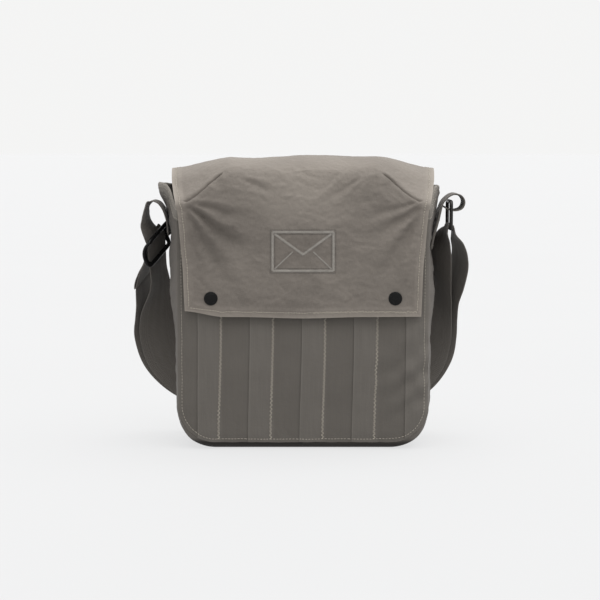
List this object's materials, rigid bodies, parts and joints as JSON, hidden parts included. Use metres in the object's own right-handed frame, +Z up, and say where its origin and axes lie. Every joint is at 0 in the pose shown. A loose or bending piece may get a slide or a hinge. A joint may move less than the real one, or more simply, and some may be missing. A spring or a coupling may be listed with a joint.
{
  "type": "crossbody mail bag",
  "caption": "Small upright nylon shoulder bag with a peaked side gusset, a folding flap closed by press studs, and a doubled webbing strap run through a ring and a slider.",
  "frame": {"origin": "middle of the base, on the surface that the bag stands on", "axes": "+X across the bag towards the ring side, -Y out of the front where the flap hangs, +Z up"},
  "size_m": [0.3305, 0.1184, 0.276],
  "materials": {
    "flap_nylon": "garment-dyed crumpled nylon",
    "body_nylon": "garment-dyed nylon",
    "tape": "woven tape with zigzag stitching",
    "webbing": "woven webbing",
    "thread": "light sewing thread",
    "lining": "smooth lining",
    "board": "stiff base board",
    "black_hardware": "glossy black",
    "stud_metal": "blackened metal",
    "post_metal": "plain metal"
  },
  "bodies": {
    "bag": {"back_panel": "body_nylon", "front_panel": "body_nylon", "front_tape_1": "tape", "front_tape_2": "tape", "front_tape_3": "tape", "front_tape_4": "tape", "front_tape_5": "tape", "front_tape_6": "tape", "gusset": "body_nylon", "mouth_binding": "body_nylon", "lining_front": "lining", "lining_back": "lining", "lining_gusset": "lining", "base_board": "board", "inner_pocket": "lining", "flap_root": "flap_nylon", "stud_posts": "post_metal", "studs": "stud_metal", "strap_root": "webbing", "ring_tab_base": "webbing"},
    "flap_top": {"flap_crown_cloth": "flap_nylon", "flap_crown_lining": "lining"},
    "flap_front": {"flap_face_cloth": "flap_nylon", "flap_face_lining": "lining", "stud_caps": "black_hardware", "stud_sockets": "stud_metal"},
    "strap_loop": {"strap": "webbing", "ring_tab_loop": "webbing", "strap_ring": "stud_metal"},
    "strap_slider": {"slider": "black_hardware", "strap_end": "webbing"}
  },
  "joints": [
    {"name": "flap_lift", "type": "hinge", "parent": "bag", "child": "flap_top", "pos_m": [0, 0.0432, 0.256], "axis": [-1, 0, 0], "range_deg": [0, 180]},
    {"name": "flap_fold", "type": "hinge", "parent": "flap_top", "child": "flap_front", "pos_m": [0, -0.0464, 0.262], "axis": [-1, 0, 0], "range_deg": [0, 90]},
    {"name": "strap_swing", "type": "hinge", "parent": "bag", "child": "strap_loop", "pos_m": [0, 0, 0.236], "axis": [1, 0, 0], "range_deg": [0, 165]},
    {"name": "slider_travel", "type": "slide", "parent": "strap_loop", "child": "strap_slider", "axis": [0, 0.46, -0.8879], "range_m": [0, 0.02], "deforming": ["strap_end"]}
  ]
}
